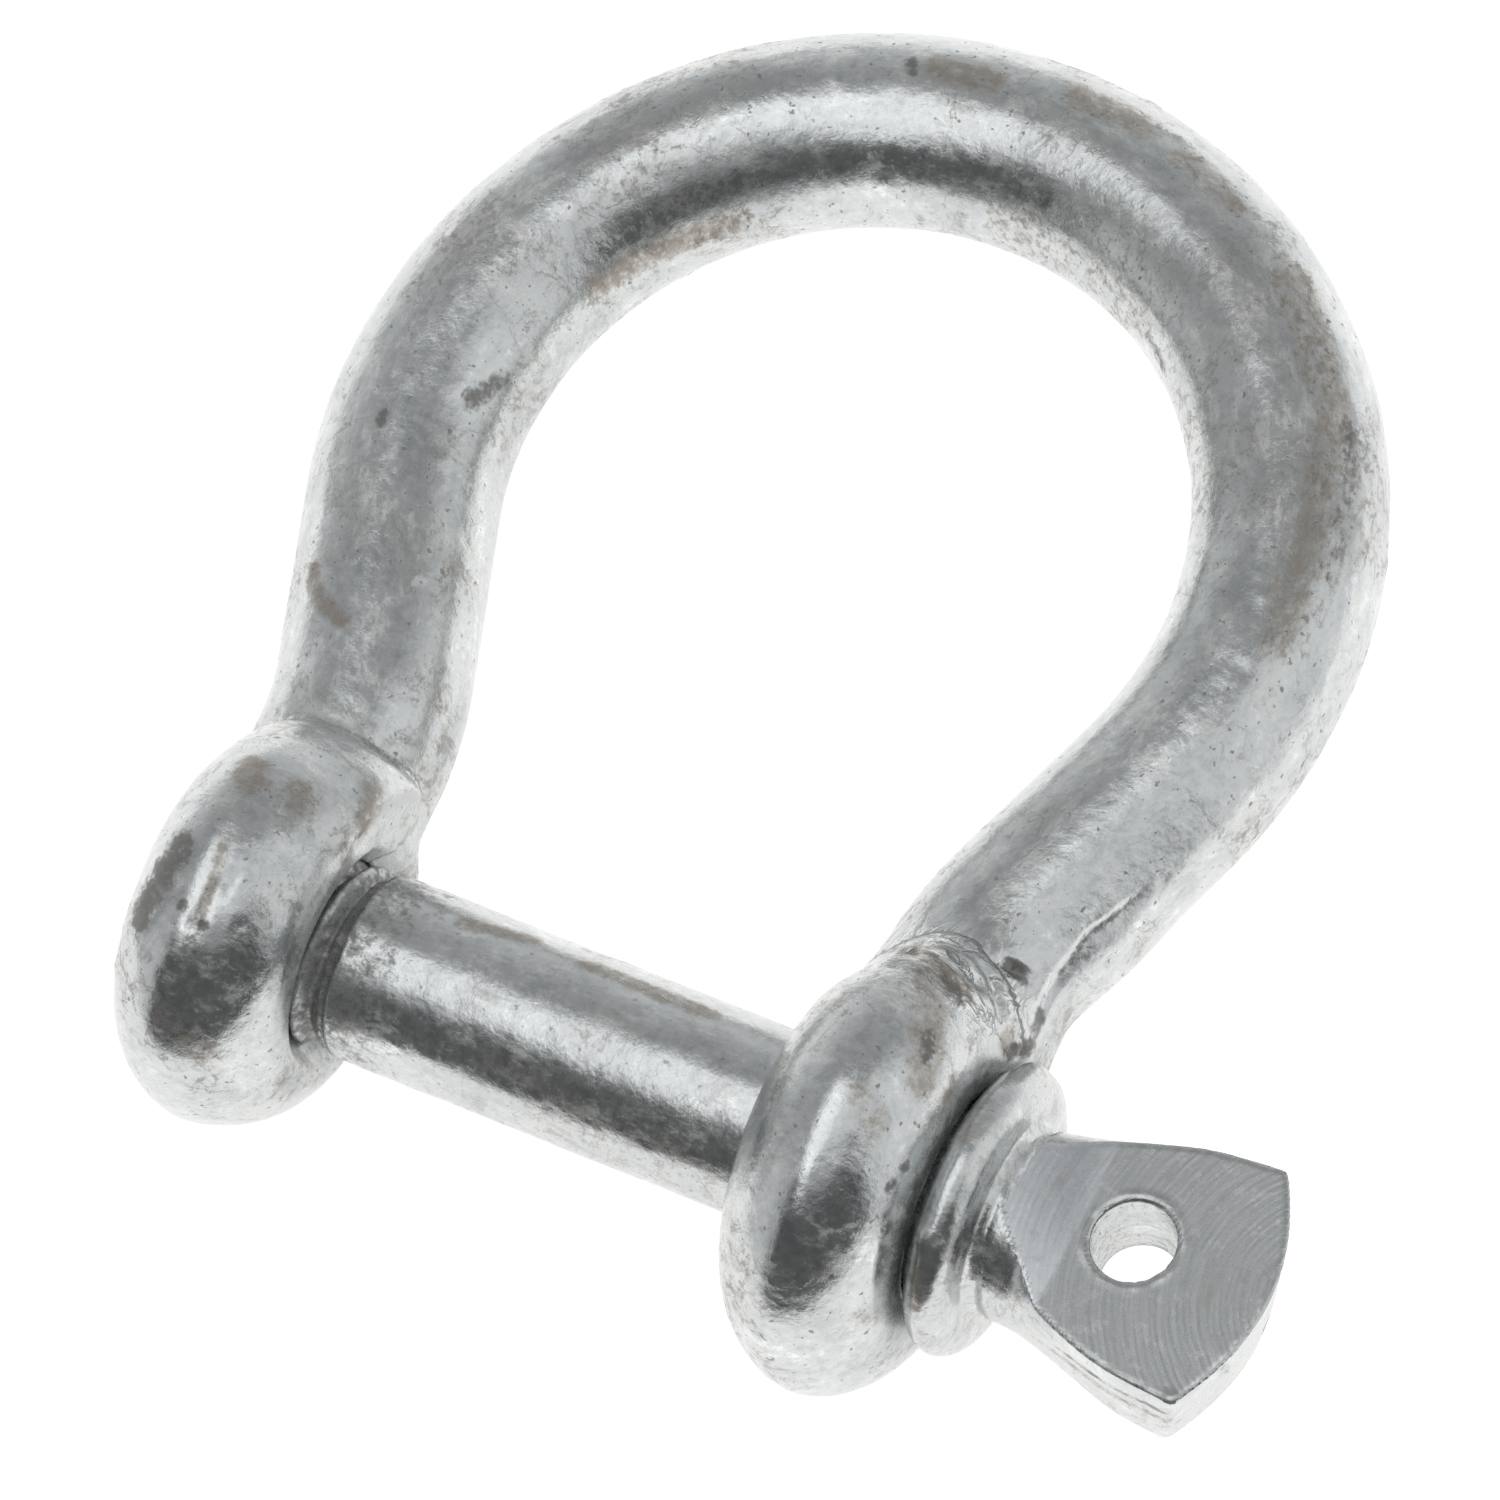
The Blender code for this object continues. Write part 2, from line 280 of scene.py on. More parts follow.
def centreline_distance(x, y):
    """In the plane of the bow, from the centreline of the bar."""
    across = np.abs(x)
    bearing = np.arctan2(y - CROWN_HEIGHT, across)
    arc = np.abs(np.hypot(across, y - CROWN_HEIGHT) - CROWN_RADIUS)
    distance = np.where(bearing >= TOUCH, arc, FAR)
    distance = np.minimum(distance, segment_distance(across, y, RUN_TOP, RUN_FOOT))
    bearing = np.arctan2(y - BEND_HEIGHT, BEND_X - across)
    arc = np.abs(np.hypot(across - BEND_X, y - BEND_HEIGHT) - BEND_RADIUS)
    distance = np.minimum(distance, np.where((bearing >= 0) & (bearing <= -TOUCH), arc, FAR))
    root = segment_distance(across, y, (LEG_SPREAD, BEND_HEIGHT), (EYE_CENTRE, 0.0))
    return np.minimum(distance, root)


def bar_field(x, y, z):
    return np.hypot(centreline_distance(x, y), z) - BAR_RADIUS


def eye_field(x, from_axis, side, outer_radius, inner_face_radius, outer_face_radius):
    """A thick disc about the pin's axis, with flat faces and a domed rim."""
    along = side * x
    on_inside = along < RIM_PEAK
    half = np.where(on_inside, RIM_PEAK - JAW_FACE, OUTER_FACE - RIM_PEAK)
    face_radius = np.where(on_inside, inner_face_radius, outer_face_radius)
    depth = outer_radius - face_radius
    u = np.maximum(np.abs(along - RIM_PEAK) / half, 1e-4)
    v = np.maximum((from_axis - face_radius) / depth, 1e-4)
    n = RIM_FULLNESS
    level = (u**n + v**n) ** (1 / n)
    slope = level ** (1 - n) * np.hypot(u ** (n - 1) / half, v ** (n - 1) / depth)
    # Far from the rim the formula misleads, so its values are held within limits.
    return np.clip((level - 1) / np.maximum(slope, 0.02), -6, 12)


def eyes_field(x, y, z):
    from_axis = np.hypot(y, z)
    # The tapped eye's inner face runs on into its leg without a step, on the upper side.
    extension = 2.3
    towards_leg = smooth_step(y / np.maximum(from_axis, 1e-3), 0.25, 0.95)
    face = EYE_FACE_RADIUS + extension * towards_leg * smooth_step(z, -1.0, 2.5)
    plain = eye_field(x, from_axis, 1, PLAIN_EYE_RADIUS, EYE_FACE_RADIUS, COLLAR_SEAT_RADIUS)
    tapped = eye_field(x, from_axis, -1, TAPPED_EYE_RADIUS, face, EYE_FACE_RADIUS)
    return np.minimum(plain, tapped)


def thread_radius(x, y, z):
    """Of the pin's right-hand thread, with flattened crests and roots."""
    crest_share = 0.12
    flank_share = 0.76
    phase = (x / THREAD_PITCH + np.arctan2(z, y) / math.tau) % 1.0
    flank = np.clip((np.abs(2 * phase - 1) - crest_share) / flank_share, 0, 1)
    return THREAD_CREST - THREAD_DEPTH * flank


def bow_field(x, y, z):
    from_axis = np.hypot(y, z)
    blend = np.where(x > 0, 2.0, 0.9)  # the plain eye was forged smoothly out of its leg
    body = smooth_min(bar_field(x, y, z), eyes_field(x, y, z), blend)
    plain_bore = from_axis - (PIN_RADIUS + FIT_GAP)
    tapped_bore = from_axis - thread_radius(x, y, z) - THREAD_PLAY
    bore = np.where(x > 0, plain_bore, tapped_bore)
    from_face = (OUTER_FACE - JAW_FACE) / 2 - np.abs(np.abs(x) - EYE_CENTRE)
    sine_of_45 = 0.7071
    mouth = (from_axis - MOUTH_RADIUS + from_face) * sine_of_45
    cut = np.minimum(bore, mouth)
    run_out = 3.0  # how far the cuts go on between the eyes
    cut = np.where(np.abs(x) < JAW_FACE - run_out, CLEAR, cut)
    edge_rounding = 0.2
    return smooth_max(body, -cut, edge_rounding)


# Places where the coat or the forging stands out or falls in: (x, y, z), (sizes), height.
BOW_LUMPS = (
    ((14.4, 9.0, 6.4), (2.2, 2.6, 2.8), -0.50),
    ((24.2, 15.5, -0.5), (1.6, 3.4, 2.6), 0.28),  # flash left on the outside of the plain eye's leg
    ((23.5, 11.4, 0.0), (1.0, 0.8, 2.6), -0.22),
    ((20.9, 11.0, 4.4), (0.75, 0.28, 0.9), -0.55),  # pit where the plain eye meets its leg
    ((22.6, 8.0, 2.6), (0.6, 0.7, 0.7), 0.30),  # bead of zinc beside the collar
    ((22.4, 8.6, 1.0), (0.5, 0.5, 0.6), 0.22),
    ((-20.2, -4.4, 9.0), (0.9, 0.9, 0.9), -0.10),
    ((-19.4, -3.6, 9.4), (1.2, 1.0, 1.0), -0.12),
    ((-18.2, -5.4, 8.2), (0.5, 0.5, 0.6), 0.16),
)

# Creases and ridges: points they pass, half width, height.
BOW_CREASES = (
    (
        ((26.0, 20.0, 3.2), (24.0, 16.4, 2.9), (23.2, 14.6, 3.1), (22.7, 12.2, 2.8), (22.5, 9.9, 2.4)),
        0.34,
        -0.20,
    ),
    (((24.6, 17.0, 3.6), (23.4, 14.8, 3.9), (22.4, 12.2, 3.7)), 0.60, 0.10),
    (((15.8, 9.0, 7.0), (17.4, 8.2, 8.2), (19.0, 8.2, 8.0), (20.2, 8.8, 6.6)), 0.40, -0.30),
    (((15.2, 9.6, 5.8), (16.8, 9.7, 6.4), (18.4, 10.1, 6.0)), 0.38, -0.26),
    (((16.6, 7.2, 9.4), (18.6, 6.6, 9.8), (19.8, 7.4, 8.4)), 0.38, -0.20),
    (((15.4, 9.4, 6.4), (17.2, 9.0, 7.2), (19.2, 9.4, 6.6)), 0.42, 0.24),
    (((16.4, 8.0, 8.6), (18.0, 7.4, 9.2), (19.6, 8.0, 8.0)), 0.40, 0.16),
    (((19.6, 9.8, 5.8), (20.6, 9.2, 5.6), (21.6, 8.2, 5.2)), 0.36, -0.24),
    (((-16.9, -2.6, 10.4), (-17.2, -4.7, 9.7)), 0.30, -0.16),
    (((-16.2, -1.4, 10.5), (-16.4, -3.2, 10.2)), 0.28, -0.12),
    (((-12.9, 9.6, 0.6), (-13.0, 8.4, 3.0), (-13.0, 6.4, 5.2), (-13.2, 3.4, 7.4)), 0.42, 0.14),
    (((-12.8, 7.6, 2.0), (-12.8, 6.2, 4.2), (-12.8, 3.8, 6.0)), 0.30, -0.12),
)

# The plain eye's coat lies in folds around this place.
FOLDS_PLACE = (18.6, 8.6, 7.0)
FOLDS_SIZE = (4.0, 2.6, 4.0)


def bow_relief(points, normals):
    """Height of the coat above the forging, in millimetres."""
    bar = bar_field(*points.T)
    eyes = eyes_field(*points.T)
    height = 0.045 * fractal(points, 7.0, 2, 3.1) + 0.016 * fractal(points, 2.2, 3, 9.7)
    # A groove where each eye meets its leg, faint at the plain eye.
    seam_width = 0.36
    seam = np.exp(-(((bar - eyes) / seam_width) ** 2)) * np.where(points[:, 0] > 0, 0.25, 1.0)
    height -= seam * (0.12 + 0.14 * smooth_step(fractal(points, 3.0, 2, 21.0), -0.2, 0.4))
    # A lip on the tapped eye, beside the groove.
    lip_offset = 1.1
    lip_width = 0.5
    lip = np.exp(-(((bar - eyes - lip_offset) / lip_width) ** 2))
    height += lip * np.where(points[:, 0] > 0, 0.0, 0.09)
    for place, size, rise in BOW_LUMPS:
        height += rise * spot(points, place, size)
    for path, half_width, rise in BOW_CREASES:
        ragged = 1 + 0.35 * fractal(points, 1.6, 2, 31.0)
        height += rise * ragged * np.exp(-((path_distance(points, path) / half_width) ** 2))
    height += 0.08 * pimples(points, 3.4, 0.70, 0.30, 2.0)
    height -= 0.07 * pimples(points, 2.9, 0.50, 0.35, 14.0)
    # The coat is thin on the eyes' flat faces, and the bores are bare of it.
    on_face = np.abs(normals[:, 0]) > 0.985
    height = height * np.where(on_face, 0.35, 1.0)
    from_axis = np.hypot(points[:, 1], points[:, 2])
    in_bore = (from_axis < MOUTH_RADIUS + 0.1) & (np.abs(points[:, 0]) > JAW_FACE - 0.5)
    return np.where(in_bore, 0.0, height)


def straightened(points):
    """Coordinates along, across and up the bar, so that streaks on it follow its bends."""
    x, y, z = points.T
    bearing = np.arctan2(y - CROWN_HEIGHT, np.abs(x))
    on_crown = bearing >= TOUCH
    run = CROWN_RADIUS * (math.pi / 2 - np.maximum(bearing, TOUCH))
    run = run + np.where(on_crown, 0, RUN_TOP[1] - y)
    leg_x = np.interp(y, [0, BEND_HEIGHT, RUN_TOP[1]], [EYE_CENTRE, LEG_SPREAD, RUN_TOP[0]])
    across = np.where(on_crown, np.hypot(x, y - CROWN_HEIGHT) - CROWN_RADIUS, np.abs(x) - leg_x)
    return np.stack([np.sign(x) * run, across, z], 1)


# Brown stains, and dark marks on the bow, partly grime and partly painted shade in grooves, a pit and
# the gap by the collar: points they pass, radius, strength.
BOW_STAINS = (
    (((-17.4, 38.9, 2.4), (-16.3, 41.1, 2.0), (-14.2, 43.6, 1.6), (-12.6, 45.2, 1.4)), 0.9, 1.0),
    (((-5.4, 56.0, 5.0), (-2.6, 56.4, 5.0)), 1.0, 0.9),
    (((2.0, 57.5, 4.5), (6.0, 57.0, 4.4)), 1.1, 0.85),
    (((9.0, 56.0, 4.2), (12.4, 54.6, 4.2)), 1.1, 0.75),
    (((17.0, 52.0, 4.2), (22.4, 46.0, 4.5), (24.4, 39.0, 4.9), (25.4, 33.0, 4.6)), 1.4, 0.8),
    (((-23.2, 17.6, 4.0), (-22.2, 16.2, 4.6), (-20.0, 15.2, 5.1)), 0.55, 1.0),
    (((-18.6, 4.2, 10.0), (-18.2, 3.4, 10.2)), 1.1, 1.0),
    (((-15.8, 4.1, 9.4), (-15.2, 3.4, 9.6)), 0.9, 0.9),
    (((-13.6, 6.4, 6.4), (-13.2, 4.8, 6.6)), 0.9, 1.0),
    (((-17.4, -0.6, 10.8), (-17.0, -4.4, 10.0)), 0.35, 0.9),
    (((14.6, 8.6, 6.6), (17.0, 8.6, 8.2), (19.0, 7.9, 8.6), (20.0, 7.6, 8.0)), 0.8, 1.0),
    (((20.3, 4.2, 10.2), (21.0, 1.8, 10.0)), 1.2, 0.9),
    (((18.8, 6.8, 9.6), (19.8, 5.4, 10.0)), 1.3, 0.75),
    (((14.8, 8.4, 6.4), (17.6, 9.2, 6.9)), 1.2, 0.8),
    (((18.9, -0.6, 11.6), (20.4, -1.6, 10.9)), 0.9, 0.65),
    (((22.3, 7.6, 4.2), (22.2, 7.0, 4.6)), 0.7, 1.0),
    (((21.6, 3.4, 8.0), (21.8, 2.0, 8.4)), 0.5, 0.9),
    (((20.2, -8.6, 5.0), (22.0, -8.2, 2.6)), 0.8, 0.6),
    (((-17.6, -8.8, 5.8), (-15.6, -9.2, 4.6)), 1.2, 0.7),
)
BOW_GRIME_AND_SHADE = (
    (((-6.9, 55.9, 4.9), (-6.6, 55.3, 5.1)), 0.35, 1.0),
    (((-19.3, 31.6, 3.1), (-20.0, 29.6, 4.0)), 0.6, 0.8),
    (((-23.5, 26.8, 5.1), (-23.4, 26.3, 5.1)), 0.35, 1.0),
    (((23.4, 45.4, 3.4), (25.4, 39.0, 3.6), (26.2, 33.0, 3.4)), 0.9, 0.62),
    (((-17.6, 49.4, 3.4), (-13.4, 52.8, 3.8), (-9.6, 54.6, 4.2)), 0.45, 0.7),
    (((6.4, 57.4, 3.8), (9.8, 56.4, 3.6)), 0.5, 0.75),
    (((-19.7, -1.4, 10.2), (-20.1, -3.4, 9.6), (-20.6, -5.0, 8.6)), 1.1, 1.0),
    (((-18.2, -4.0, 10.1), (-18.1, -4.2, 10.1)), 0.30, 1.0),
    (((-16.9, -4.6, 9.6), (-17.4, -5.8, 8.8)), 0.45, 0.8),
    # Painted shade in two grooves of the plain eye's folds, and in the pit where the eye meets its leg.
    (((16.2, 8.7, 7.4), (16.9, 8.5, 8.2)), 0.6, 1.0),
    (((19.4, 7.6, 8.6), (20.2, 7.0, 8.6)), 0.6, 0.9),
    (((20.6, 11.1, 4.6), (21.3, 10.9, 4.1)), 0.45, 1.0),
    (((20.4, 4.0, 10.3), (20.8, 3.0, 10.2)), 0.45, 1.0),
    (((21.9, -2.2, 8.6), (21.8, -2.4, 8.7)), 0.30, 1.0),
    (((21.7, -3.4, 8.6), (21.6, -3.6, 8.7)), 0.36, 1.0),
    (((21.8, -4.6, 7.7), (21.8, -4.8, 7.7)), 0.25, 1.0),
    # Painted shade in the gap between the plain eye and the collar, and along the groove that runs into
    # it.
    (((22.5, 9.9, 2.4), (22.7, 8.0, 2.6), (22.7, 6.8, 4.2)), 0.5, 0.9),
    (((24.0, 16.4, 2.9), (23.2, 14.6, 3.1), (22.7, 12.2, 2.8)), 0.22, 0.8),
    (((10.9, 47.2, 1.7), (12.0, 46.0, 1.6)), 0.5, 0.7),
)

# Whitish marks on the edges and folds of the bow, given in the same way: partly zinc oxide, partly
# painted highlight on the ridges, on the tapped eye's edge and on the plain eye's rim by the collar.
BOW_PALE = (
    (
        ((-12.9, 9.8, 0.6), (-13.0, 8.4, 3.0), (-13.1, 6.6, 5.2), (-13.4, 3.4, 7.4), (-13.4, -0.6, 8.0)),
        0.42,
        1.0,
    ),
    (((-20.8, 10.6, 3.6), (-18.6, 10.2, 5.0), (-16.4, 10.0, 4.8), (-14.0, 10.4, 3.0)), 0.6, 0.7),
    (((15.4, 9.4, 6.4), (17.2, 9.0, 7.2), (19.2, 9.4, 6.6)), 0.5, 1.0),
    (((16.4, 8.0, 8.6), (18.0, 7.4, 9.2), (19.6, 8.0, 8.0)), 0.4, 0.8),
    (((21.0, 8.6, 5.0), (22.6, 7.6, 3.0)), 0.6, 0.9),
    (((24.6, 17.0, 3.6), (23.4, 14.8, 3.9), (22.4, 12.2, 3.7)), 0.4, 0.7),
)


# The screw pin ----------------------------------------------------------------------------------

# The fan's half width along the pin.
LUG_STATIONS = np.array([1.5, 3.5, 6.0, 8.8, 12.8, 16.0]) + COLLAR_END
LUG_HALF_WIDTHS = np.array([4.95, 5.1, 5.75, 6.5, 6.9, 7.1])


def softened(stations, values, reach):
    """A smooth curve close to given values, as a finely sampled table."""
    grid = np.linspace(stations[0] - 3, stations[-1] + 1, 421)
    step = grid[1] - grid[0]
    furthest = round(2.5 * reach / step)
    taps = np.arange(-furthest, furthest + 1)
    weights = np.exp(-0.5 * (taps * step / reach) ** 2)
    padded = np.pad(np.interp(grid, stations, values), len(taps) // 2, mode="edge")
    return grid, np.convolve(padded, weights / weights.sum(), "valid")


LUG_GRID, LUG_CURVE = softened(LUG_STATIONS, LUG_HALF_WIDTHS, 0.8)


def milling_field(x, y, z):
    """What the mill took off both faces: a flat, then a concave ramp that starts with a crease."""
    ramp_radius = 11.0
    crease_angle = math.radians(14)
    twist = 0.06  # of the ramp, per millimetre along it
    centre_x = RAMP_START + ramp_radius * math.sin(crease_angle)
    centre_z = LUG_HALF_THICKNESS + ramp_radius * math.cos(crease_angle)
    above = np.abs(z)
    tilted = above + twist * y * np.sign(z) * (RAMP_START - x)
    ramp = np.hypot(x - centre_x, tilted - centre_z) - ramp_radius
    cut = np.where(x < RAMP_START, ramp, LUG_HALF_THICKNESS - above)
    return np.where(x < COLLAR_END, CLEAR, cut)


def shank_field(x, y, z, from_axis):
    """The threaded tip with its chamfer, the undercut, and the plain shank up to the collar."""
    undercut = np.array([THREAD_END - 0.2, THREAD_END, UNDERCUT_END, SHOULDER])
    run_out = np.interp(x, undercut, [CLEAR, 4.4, 4.45, PIN_RADIUS])
    radius = np.minimum(np.where(x < THREAD_END, thread_radius(x, y, z), PIN_RADIUS), run_out)
    tip_radius = THREAD_CREST - THREAD_DEPTH - 0.3
    chamfer_slope = 1.1
    radius = np.minimum(radius, tip_radius + chamfer_slope * (x - TIP))
    body = (from_axis - radius) * np.where(x < SHOULDER, 0.7, 1.0)
    edge_rounding = 0.15
    inside_collar = 0.5
    return np.maximum(smooth_max(body, TIP - x, edge_rounding), x - COLLAR_START - inside_collar)


def collar_field(x, from_axis):
    """A disc with a rounded edge."""
    half = (COLLAR_END - COLLAR_START) / 2
    u = (x - COLLAR_START - half) / half
    v = np.maximum(from_axis - COLLAR_RADIUS + COLLAR_EDGE_DEPTH, 0) / COLLAR_EDGE_DEPTH
    level = np.hypot(u, v)
    slope = np.hypot(u / half, v / COLLAR_EDGE_DEPTH) / np.maximum(level, 1e-3)
    return (level - 1) / np.maximum(slope, 0.3)


def lug_field(x, y, z):
    """The fan as forged: round like a rod at the neck, slab-like further out."""
    half_width = np.interp(x, LUG_GRID, LUG_CURVE)
    # The neck swells next to the collar, more so on its +Y side.
    swelling = np.exp(-(((x - COLLAR_END - 2.8) / 2.0) ** 2))
    half_width = half_width + np.where(y > 0, 0.5, 0.1) * swelling
    half_thickness = LUG_BLANK_HALF_THICKNESS
    fullness = 2 + 4 * smooth_step(x, COLLAR_END + 2.2, COLLAR_END + 9.0)
    across = np.maximum(np.abs(y) / half_width, 1e-4)
    above = np.maximum(np.abs(z) / half_thickness, 1e-4)
    level = (across**fullness + above**fullness) ** (1 / fullness)
    side_slope = 0.9
    end_slope = 0.85
    side = (level - 1) * half_thickness * side_slope
    corner = LUG_TIP - LUG_END_RISE + LUG_END_SLANT * (z / LUG_HALF_THICKNESS - 1) / 2
    share = np.clip(y / LUG_END_HALF_WIDTH, -1, 1)
    end = (x - corner - LUG_END_RISE * (1 - share**2)) * end_slope
    fan = smooth_max(side, end, 0.25)
    return np.maximum(fan, COLLAR_END + 1.0 - x)


def pin_field(x, y, z):
    """Shank, collar, neck and lug run together, then what was milled and drilled is taken away."""
    from_axis = np.hypot(y, z)
    body = smooth_min(shank_field(x, y, z, from_axis), collar_field(x, from_axis), 0.12)
    stations = COLLAR_END + np.array([-1.0, 0.0, 0.5, 2.0])
    neck = from_axis - np.interp(x, stations, [5.2, 5.15, 4.85, 4.65])
    neck = np.maximum(np.maximum(neck, COLLAR_END - 1.0 - x), x - COLLAR_END - 2.0)
    body = smooth_min(body, neck, 0.35)
    body = smooth_min(body, lug_field(x, y, z), 0.5)
    body = smooth_max(body, -milling_field(x, y, z), 0.08)
    # The drilled hole leans a little, and the drill left rings in it.
    lean = 0.07
    rings = 0.035 * np.sin(z * 11.0)
    hole_x = HOLE_X + lean * (z - LUG_HALF_THICKNESS)
    hole = np.hypot(x - hole_x, y - HOLE_Y) - HOLE_RADIUS - rings
    return smooth_max(body, -hole, 0.12)


# Lumps and nicks on the pin: (x, y, z), (sizes), height.
PIN_LUMPS = (
    ((24.0, 6.6, 3.6), (0.6, 1.0, 1.0), 0.25),
    ((23.4, -4.6, 6.0), (0.5, 0.6, 0.6), 0.15),
    ((24.2, -6.8, 3.2), (0.5, 0.9, 0.9), 0.12),
    ((39.2, -3.6, 1.6), (0.3, 0.3, 0.3), 0.25),
    ((38.0, -6.6, 3.0), (0.5, 0.3, 0.5), 0.10),
)


def pin_relief(points, normals):
    """Height of the coat above the forging, in millimetres: none on the milled parts and thread."""
    x, y, _ = points.T
    milled = milled_share(points)
    threads = 1 - smooth_step(x, THREAD_END - 0.5, THREAD_END + 0.5)
    coat = 0.030 * fractal(points, 5.0, 2, 5.5) + 0.012 * fractal(points, 1.4, 3, 8.2)
    coat += 0.06 * pimples(points, 3.0, 0.55, 0.3, 6.0)
    height = coat * (1 - 0.92 * milled) * (1 - 0.9 * threads)
    for place, size, rise in PIN_LUMPS:
        height += rise * spot(points, place, size)
    # A ragged burr round the hole.
    burr_offset = 0.18
    burr_width = 0.2
    from_rim = np.hypot(x - HOLE_X, y - HOLE_Y) - HOLE_RADIUS
    rim = np.exp(-(((from_rim - burr_offset) / burr_width) ** 2))
    height += rim * milled * 0.07 * (0.6 + fractal(points, 0.9, 2, 4.0))
    return height


def milled_share(points):
    """1 on the milled flats and ramps, 0 elsewhere."""
    x, y, z = points.T
    return smooth_step(-np.abs(milling_field(x, y, z)), -0.10, -0.02) * (x > COLLAR_END + 0.9)


# Stains, zinc oxide and dark marks on the pin, given as those on the bow. The pale mark on the collar's
# edge is partly zinc oxide and partly painted highlight. The dark marks are grime on the lug, and a
# darkening of the thread and of the shank next to the tapped eye.
PIN_STAINS = (
    (((-6.6, 2.6, 4.3), (-3.0, 3.2, 3.8)), 0.6, 0.9),
    (((0.4, 3.0, 4.0), (7.4, 3.0, 4.0)), 0.65, 0.85),
    (((-2.0, -3.4, 3.7), (4.0, -4.2, 2.8), (10.0, -4.2, 2.8)), 0.5, 0.6),
    (((23.8, -6.0, 4.8), (23.8, -6.8, 3.2)), 0.6, 0.9),
    (((23.6, 3.4, 7.0), (23.6, 0.6, 7.7)), 0.5, 0.7),
    (((28.0, -4.4, 0.4), (33.0, -6.2, 0.0), (37.4, -6.8, 0.2)), 0.45, 0.7),
)
PIN_PALE = (
    # Whitish on the collar's edge: partly zinc oxide, partly painted highlight.
    (((24.6, 0.0, 7.4), (25.0, 4.0, 6.4)), 0.5, 0.6),
    (((39.0, -4.6, 0.0), (40.2, 0.0, 0.0), (39.0, 4.6, 0.0)), 1.6, 0.7),
)
PIN_DARK_MARKS = (
    # Darker on the thread and on the shank next to the tapped eye's inner face.
    (((-22.0, 0.0, 0.0), (-12.3, 0.0, 0.0)), 5.6, 1.0),
    (((29.8, -4.9, 1.2), (33.0, -6.0, 1.2), (37.4, -6.6, 1.4)), 0.35, 1.0),
    (((38.9, 1.0, -2.2), (39.2, 0.4, -2.4)), 0.4, 1.0),
)


# Meshes -----------------------------------------------------------------------------------------


def mark_strength(points, marks):
    """1 close to the strongest mark, 0 at one and a half times its radius and beyond."""
    strength = np.zeros(len(points))
    for path, radius, amount in marks:
        fade = 1.5 - path_distance(points, path) / radius
        strength = np.maximum(strength, amount * np.clip(fade, 0, 1))
    return strength


def add_floats(mesh, name, values):
    mesh.attributes.new(name, "FLOAT", "POINT").data.foreach_set("value", values.astype(np.float32))


def calm(points, normals):
    """1 on the faces and bores that touch or nearly touch another face, where the coat is thin."""
    from_axis = np.hypot(points[:, 1], points[:, 2])
    near_eye = (np.abs(points[:, 0]) > JAW_FACE - 0.6) & (np.abs(points[:, 0]) < COLLAR_START + 0.6)
    faces = smooth_step(np.abs(normals[:, 0]), 0.90, 0.98) * near_eye
    bores = (from_axis < MOUTH_RADIUS + 0.3) & near_eye
    return np.maximum(faces, bores)


def forging(name, shape, box, step, relief, marks, coat_points):
    """A piece from its field, with the coat's relief and the values its material reads."""
    points, normals, quads = skin(shape, *box, step)
    surface = points + normals * relief(points, normals)[:, None]
    world = surface * MM + np.array(JAW_CENTRE)
    world = np.clip(world, np.array(box[0]), np.array(box[1]))
    mesh = bpy.data.meshes.new(name)
    mesh.vertices.add(len(world))
    mesh.vertices.foreach_set("co", world.astype(np.float32).ravel())
    mesh.loops.add(quads.size)
    mesh.loops.foreach_set("vertex_index", quads.astype(np.int32).ravel())
    mesh.polygons.add(len(quads))
    mesh.polygons.foreach_set("loop_start", np.arange(0, quads.size, 4, dtype=np.int32))
    mesh.update(calc_edges=True)
    mesh.validate()
    mesh.shade_smooth()
    coat = mesh.attributes.new("coat", "FLOAT_VECTOR", "POINT").data
    coat.foreach_set("vector", coat_points(points).astype(np.float32).ravel())
    for mark, places in marks.items():
        add_floats(mesh, mark, mark_strength(points, places))
    add_floats(mesh, "calm", calm(points, normals))
    add_floats(mesh, "wrinkled", spot(points, FOLDS_PLACE, FOLDS_SIZE))
    obj = bpy.data.objects.new(name, mesh)
    bpy.context.scene.collection.objects.link(obj)
    return obj, points


def bow_coat_points(points):
    """Where the coat's pattern is read: along the bar, and apart from it on the eyes."""
    apart = 50.0
    on_eye = eyes_field(*points.T) < bar_field(*points.T)
    return np.where(on_eye[:, None], points + apart, straightened(points))


# Materials --------------------------------------------------------------------------------------


